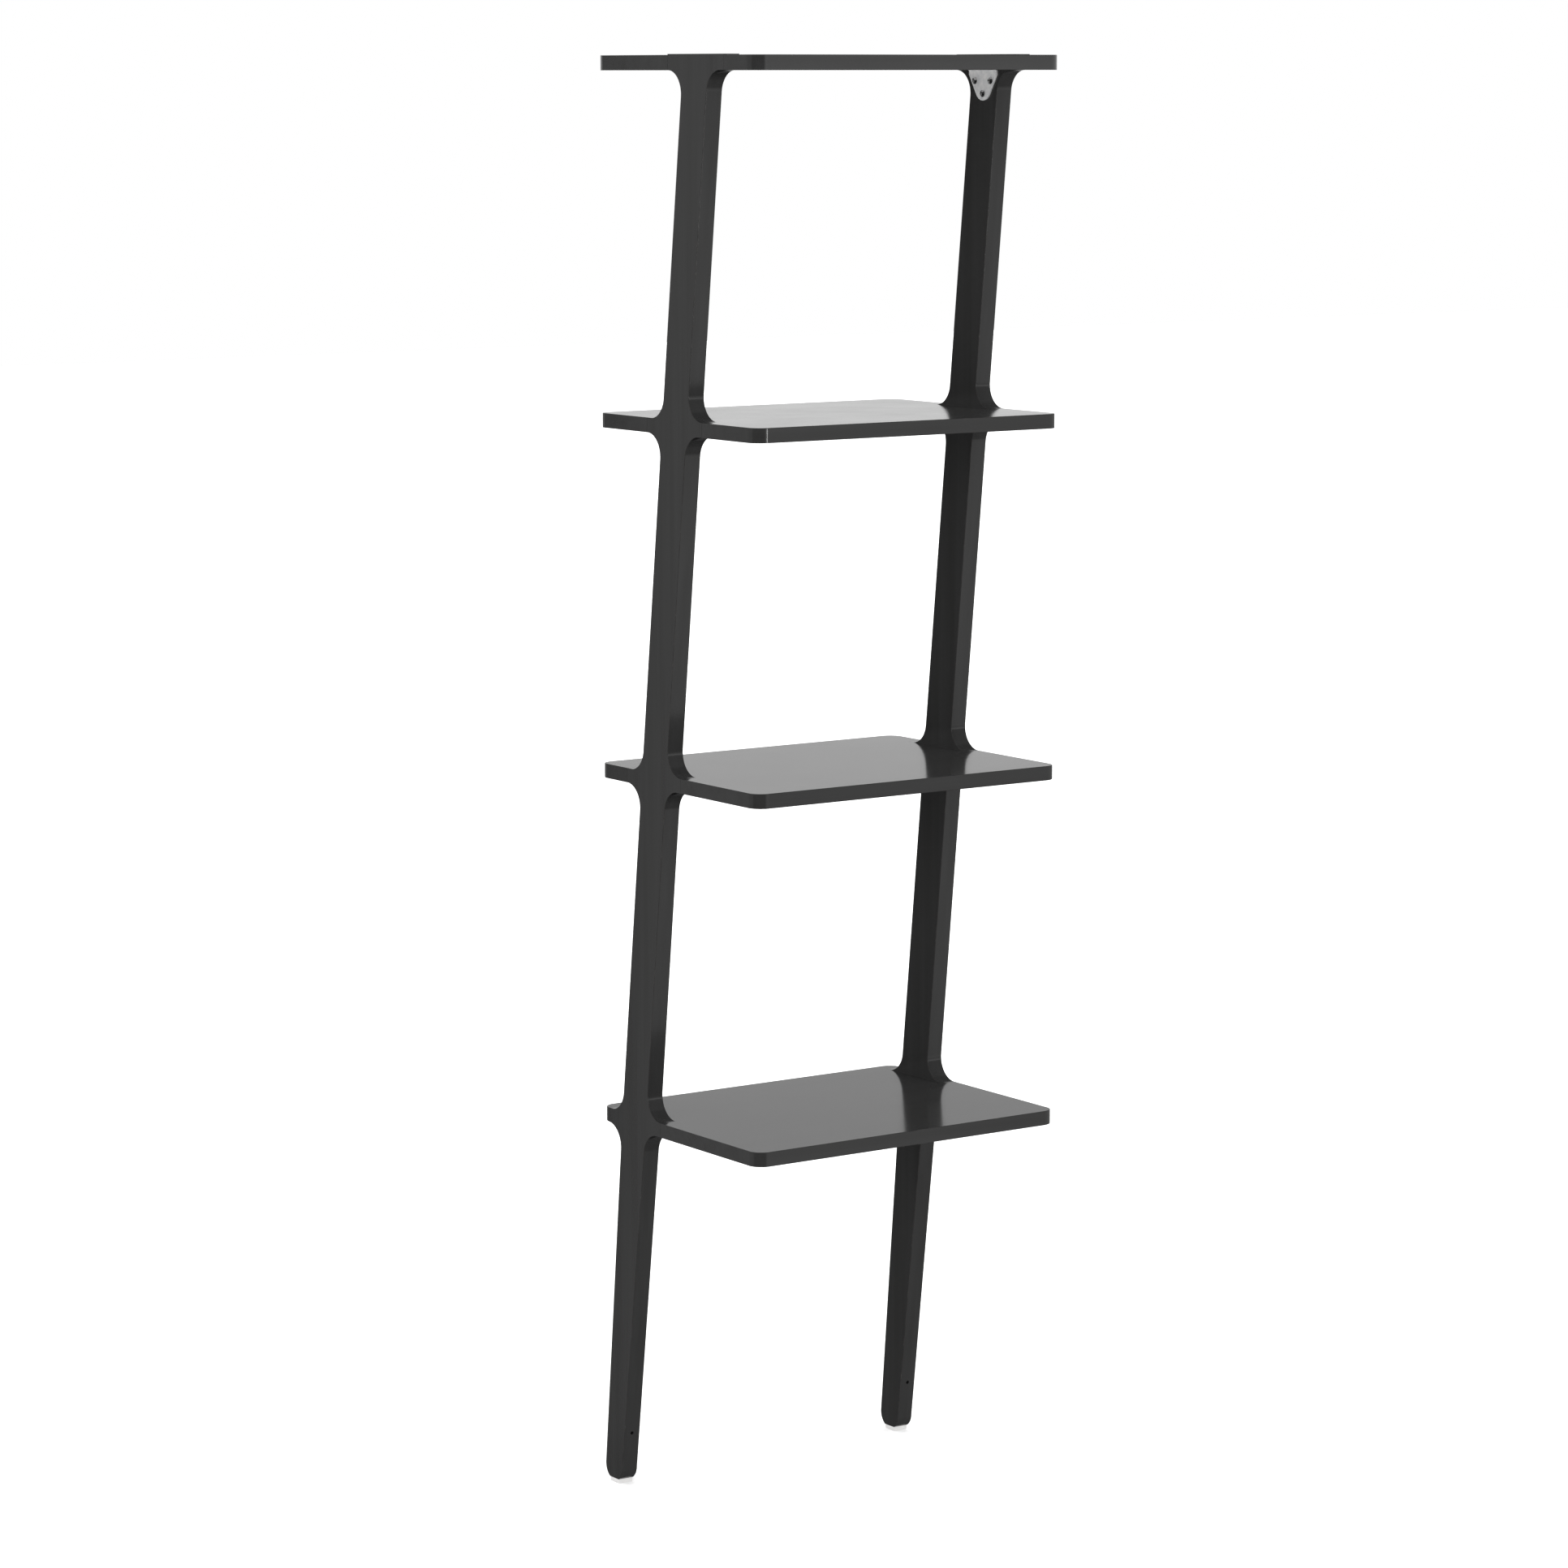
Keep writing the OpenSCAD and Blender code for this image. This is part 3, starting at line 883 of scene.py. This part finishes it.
def cross_cutter(top):
    """A tapered cross for the recess in a screw's head, whose top is at the given height."""
    mesh = bmesh.new()
    loops = []
    # the arms reach 0.45 of their length at the bottom, and grow past it above the head
    for share, height in ((0.45, top - CROSS_DEPTH), (1.12, top + CROSS_DEPTH / 4)):
        reach = CROSS_L / 2 * share
        half = CROSS_W / 2 * (0.6 + 0.4 * share)
        quadrant = [Vector((reach, -half)), Vector((reach, half)), Vector((half, half))]
        loop = []
        for turn in range(4):
            spin = Matrix.Rotation(turn * math.pi / 2, 2)
            for point in quadrant:
                spun = spin @ point
                loop.append(mesh.verts.new((spun.x, spun.y, height)))
        loops.append(loop)
    low, high = loops
    count = len(low)
    for i in range(count):
        j = (i + 1) % count
        mesh.faces.new((low[i], low[j], high[j], high[i]))
    mesh.faces.new(reversed(low))
    mesh.faces.new(high)
    return mesh


def screw_mesh(profile):
    """One screw as mesh data, with a cross in the top of its head."""
    single = to_object(lathe(profile), "screw")
    cross = cross_cutter(profile[-1][1])
    # turned by half a side, so that no corner of the cross falls on an edge of the head
    cross.transform(Matrix.Rotation(math.pi / HOLE_SIDES, 4, "Z"))
    subtract(single, cross)
    data = single.data
    bpy.data.objects.remove(single)
    return data


PAN_SCREW = screw_mesh(pan_head_profile())
FLAT_SCREW = screw_mesh(flat_head_profile())
# from one screw of a bracket's leg to the next; no two of them are driven home at the same angle
SCREW_TURN = math.radians(67)


def screws(name, side, on_upright):
    parts = []
    for i, (place, out) in enumerate(screw_frames(side, on_upright)):
        single = bmesh.new()
        single.from_mesh(PAN_SCREW if on_upright else FLAT_SCREW)
        turn = Matrix.Rotation(SCREW_TURN * (i + 1), 4, "Z")
        parts.append((single, facing(out, place + out * BRACKET_T) @ turn))
    kind, where = ("pan", "upright") if on_upright else ("flat", "shelf")
    piece = to_object(joined(parts), f"{kind}_screws_{where}_{name}")
    finish_piece(piece, f"bracket_{where}_screws_{name}", SCREW_STEEL)


# ---- cam caps, glides and nails ----


def cap_profile():
    """A low dome that points down, with a stem above it; the board's underside is at height 0."""
    rim = 0.4 * MM
    dome_h = (CAP_T - rim) * 0.5
    dome_steps = 6
    stem_taper = 0.3 * MM
    profile = [(0, -CAP_T)]
    for step in range(1, dome_steps + 1):
        share = step / dome_steps
        profile.append(((CAP_R - rim) * share, -CAP_T + dome_h * share**2))
    profile.append((CAP_R, -rim / 2))
    profile.append((CAP_R, 0))
    profile.append((CAP_STEM_R, 0))
    profile.append((CAP_STEM_R - stem_taper, CAP_STEM_L))
    profile.append((0, CAP_STEM_L))
    return profile


def cam_caps(board):
    parts = []
    for side in SIDES.values():
        place = Vector((side * (INNER_X - CAM_INSET), joint_y(board), BOARD_UNDER[board]))
        parts.append((lathe(cap_profile(), 2 * HOLE_SIDES), Matrix.Translation(place)))
    piece = to_object(joined(parts), f"domed_cam_caps_{board}")
    finish_piece(piece, f"cam_caps_{board}", BLACK_PLASTIC)


def nail_hole_profile():
    """The hole through a glide, wide for the nail's head and then narrow.

    The glide's underside is at height 0.
    """
    shoulder = NAIL_RECESS + NAIL_HEAD_T
    end = GLIDE_T + DRILL_START
    return [
        (0, -DRILL_START),
        (NAIL_HEAD_R, -DRILL_START),
        (NAIL_HEAD_R, shoulder),
        (NAIL_R, shoulder),
        (NAIL_R, end),
        (0, end),
    ]


def glide(name, side):
    half = Vector((UPRIGHT_T / 2 - GLIDE_INSET, FOOT_FLAT / 2))
    outline = []
    for quadrant in range(4):
        sign_x = 1 if quadrant in (0, 3) else -1
        sign_y = 1 if quadrant in (0, 1) else -1
        centre = Vector((sign_x * (half.x - GLIDE_CORNER_R), sign_y * (half.y - GLIDE_CORNER_R)))
        for step in range(CORNER_STEPS + 1):
            angle = math.pi / 2 * (quadrant + step / CORNER_STEPS)
            point = centre + GLIDE_CORNER_R * Vector((math.cos(angle), math.sin(angle)))
            outline.append((point, GLIDE_EDGE_R, STEEL_EDGE_R))
    prism = rounded_prism(outline, 0, GLIDE_T)
    prism.transform(Matrix.Translation((side * MIDDLE_X, FOOT_Y, 0)))
    piece = to_object(prism, f"moulded_glide_{name}")
    hole = lathe(nail_hole_profile())
    hole.transform(Matrix.Translation((side * MIDDLE_X, FOOT_Y, 0)))
    subtract(piece, hole)
    finish_piece(piece, f"glide_{name}", PALE_PLASTIC)


def glide_nail(name, side):
    """A nail with a slightly domed head that faces the floor."""
    point_l = 1.5 * MM
    point_r = 0.1 * NAIL_R
    dome = 0.25 * MM
    profile = [
        (0, 0),
        (NAIL_HEAD_R * 0.5, dome * 0.3),
        (NAIL_HEAD_R * 0.9, dome),
        (NAIL_HEAD_R, 2 * dome),
        (NAIL_HEAD_R, NAIL_HEAD_T),
        (NAIL_R, NAIL_HEAD_T),
        (NAIL_R, NAIL_L - point_l),
        (point_r, NAIL_L),
        (0, NAIL_L),
    ]
    nail = lathe(profile)
    nail.transform(Matrix.Translation((side * MIDDLE_X, FOOT_Y, NAIL_RECESS)))
    piece = to_object(nail, f"domed_nail_{name}")
    finish_piece(piece, f"glide_nail_{name}", SCREW_STEEL)


def kept_nodes():
    """The hidden fittings stay as the CAD has them, with their own materials."""
    kept = {f"dowels_{board}": BEECH for board in BOARDS}
    for board in CAM_BOARDS:
        kept[f"cam_bolts_{board}"] = FITTING_ZINC
        kept[f"cam_locks_{board}"] = FITTING_ZINC
    for name, material in kept.items():
        nodes[name].data.materials.clear()
        nodes[name].data.materials.append(material)


for name, side in SIDES.items():
    upright(name, side)
    bracket(name, side)
    screws(name, side, on_upright=True)
    screws(name, side, on_upright=False)
    glide(name, side)
    glide_nail(name, side)
for board in BOARDS:
    shelf(board)
for board in CAM_BOARDS:
    cam_caps(board)
kept_nodes()
for mesh in (PAN_SCREW, FLAT_SCREW):
    bpy.data.meshes.remove(mesh)

# ---- stage, light and camera ----

CAMERA_PLACE = Vector((-3.1077, -4.4206, 1.5631))
CAMERA_HEADING = math.radians(34.593)
CAMERA_PITCH = math.radians(8.149)
CAMERA_ROLL = math.radians(-0.061)
CAMERA_LENS = 114.02
CAMERA_SENSOR = 36.0
CAMERA_REACH = 100.0
FLOOR_HALF = 20.0

# the bright sides of the mirrored studio: the middle as a compass bearing from +Y towards +X,
# the reach to each side of it, and the radiance by elevation; all angles are in degrees
BACKDROP_SIDE = (37.5, 62.5)
BACKDROP = (
    (0, 1.05),
    (4, 0.95),
    (8, 0.73),
    (12, 0.61),
    (17, 0.52),
    (23, 0.06),
    (90, 0.04),
)
FRONT_SIDE = (73, 97)
FRONT = (
    (-90, 0.10),
    (-27, 0.12),
    (-22, 0.45),
    (-14, 0.60),
    (-12, 0.44),
    (-8, 0.38),
    (-4, 0.42),
    (0, 1.10),
)
# the front ends and the backdrop begins at this elevation; a side fades out over this angle
BACKDROP_START = 2.0
SIDE_FADE = 9.4
# radiance around the front and around the backdrop, and of the even light that isn't mirrored
DARK_SIDE = 0.01
DIM_CEILING = 0.14
AMBIENT = 1.0
# a wide sun that lights only the floor
OVERHEAD = 3.0
OVERHEAD_SPREAD = math.radians(120)
KEY_PLACE = (-1.75, -1.75, 1.25)
KEY_SIZE = 1.5
KEY_POWER = 8
STRIP_PLACE = (0.75, -2.6, 1.0)
STRIP_SIZE = (0.14, 0.7)
STRIP_POWER = 6.0
RIM_PLACE = (-1.75, 0.9, 0.7)
RIM_SIZE = (2.0, 2.4)
RIM_POWER = 4.0


def stage_floor():
    """A white paper floor. The lacquer mirrors the world's lower half instead of it."""
    mesh = bmesh.new()
    bmesh.ops.create_grid(mesh, x_segments=1, y_segments=1, size=FLOOR_HALF)
    floor = to_object(mesh, "studio_floor")
    floor.visible_glossy = False
    floor.visible_diffuse = False
    material, tree, shader, coordinates = new_material("studio_floor")
    paper = noise(tree, coordinates, 3, detail=4)
    colour = ramp(tree, paper, [(0.3, grey(0.90)), (0.7, grey(0.92))])
    tree.links.new(colour, shader.inputs["Base Color"])
    shader.inputs["Roughness"].default_value = 0.9
    shader.inputs["Specular IOR Level"].default_value = 0.1
    floor.data.materials.append(material)
    return floor


def by_elevation(tree, height, stops):
    """Greys by elevation, from a direction's height in -1..1; gives the colour's socket."""
    limits = {"Value": height, "From Min": -1.0}
    share = shader_node(tree, "ShaderNodeMapRange", limits).outputs["Result"]
    places = []
    for elevation, radiance in stops:
        place = (1 + math.sin(math.radians(elevation))) / 2
        places.append((place, grey(radiance)))
    return ramp(tree, share, places)


def lit_side(tree, direction, side, stops, rest):
    """One bright side of the studio, which fades to the rest; gives the colour's socket."""
    bearing, reach = side
    middle = (math.sin(math.radians(bearing)), math.cos(math.radians(bearing)), 0)
    vectors = {0: direction, 1: middle}
    nearness = shader_node(tree, "ShaderNodeVectorMath", vectors, operation="DOT_PRODUCT")
    limits = {
        "Value": nearness.outputs["Value"],
        "From Min": math.cos(math.radians(reach + SIDE_FADE)),
        "From Max": math.cos(math.radians(reach)),
    }
    share = shader_node(tree, "ShaderNodeMapRange", limits).outputs["Result"]
    height = shader_node(tree, "ShaderNodeSeparateXYZ", {"Vector": direction}).outputs["Z"]
    return mixed(tree, share, grey(rest), by_elevation(tree, height, stops))


def studio_world():
    """A white background to look at; in reflections, a studio with bright sides and a dark side."""
    world = bpy.data.worlds.new("studio")
    bpy.context.scene.world = world
    world.use_nodes = True
    tree = world.node_tree
    direction = shader_node(tree, "ShaderNodeTexCoord").outputs["Generated"]
    height = shader_node(tree, "ShaderNodeSeparateXYZ", {"Vector": direction}).outputs["Z"]
    start = math.sin(math.radians(BACKDROP_START))
    heights = {0: height, 1: start}
    above = shader_node(tree, "ShaderNodeMath", heights, operation="GREATER_THAN").outputs["Value"]
    front = lit_side(tree, direction, FRONT_SIDE, FRONT, DARK_SIDE)
    backdrop = lit_side(tree, direction, BACKDROP_SIDE, BACKDROP, DIM_CEILING)
    mirrored = mixed(tree, above, front, backdrop)
    path = shader_node(tree, "ShaderNodeLightPath")
    unseen = mixed(tree, path.outputs["Is Glossy Ray"], grey(AMBIENT), mirrored)
    colour = mixed(tree, path.outputs["Is Camera Ray"], unseen, grey(1.0))
    tree.links.new(colour, tree.nodes["Background"].inputs["Color"])


def lamp_object(name, kind, power, only_on=None):
    """A lamp, which may light only one object."""
    light = bpy.data.lights.new(name, kind)
    light.energy = power
    lamp = bpy.data.objects.new(name, light)
    lamp.visible_camera = False
    bpy.context.scene.collection.objects.link(lamp)
    if only_on:
        receivers = bpy.data.collections.new(f"lit_by_{name}")
        receivers.objects.link(only_on)
        lamp.light_linking.receiver_collection = receivers
    return lamp


def softbox(name, place, size, power, mirrored):
    """A rectangular soft light (width, height) that faces the Z axis, and may be mirrored."""
    lamp = lamp_object(name, "AREA", power)
    lamp.data.shape = "RECTANGLE"
    lamp.data.size, lamp.data.size_y = size
    lamp.location = place
    way = Vector((-place[0], -place[1], 0))
    lamp.rotation_euler = way.to_track_quat("-Z", "Y").to_euler()
    lamp.visible_glossy = mirrored


def studio_lights(floor):
    overhead = lamp_object("overhead", "SUN", OVERHEAD, only_on=floor)
    overhead.data.angle = OVERHEAD_SPREAD
    softbox("key", KEY_PLACE, (KEY_SIZE, KEY_SIZE), KEY_POWER, mirrored=False)
    softbox("strip", STRIP_PLACE, STRIP_SIZE, STRIP_POWER, mirrored=True)
    softbox("rim", RIM_PLACE, RIM_SIZE, RIM_POWER, mirrored=True)


def studio_camera():
    data = bpy.data.cameras.new("camera")
    data.sensor_width = CAMERA_SENSOR
    data.lens = CAMERA_LENS
    data.clip_end = CAMERA_REACH
    camera = bpy.data.objects.new("camera", data)
    heading = Matrix.Rotation(-CAMERA_HEADING, 4, "Z")
    pitch = Matrix.Rotation(math.pi / 2 - CAMERA_PITCH, 4, "X")
    roll = Matrix.Rotation(CAMERA_ROLL, 4, "Z")
    camera.matrix_world = Matrix.Translation(CAMERA_PLACE) @ heading @ pitch @ roll
    bpy.context.scene.collection.objects.link(camera)
    bpy.context.scene.camera = camera


studio_world()
studio_lights(stage_floor())
studio_camera()
bpy.context.scene.view_settings.view_transform = "Standard"
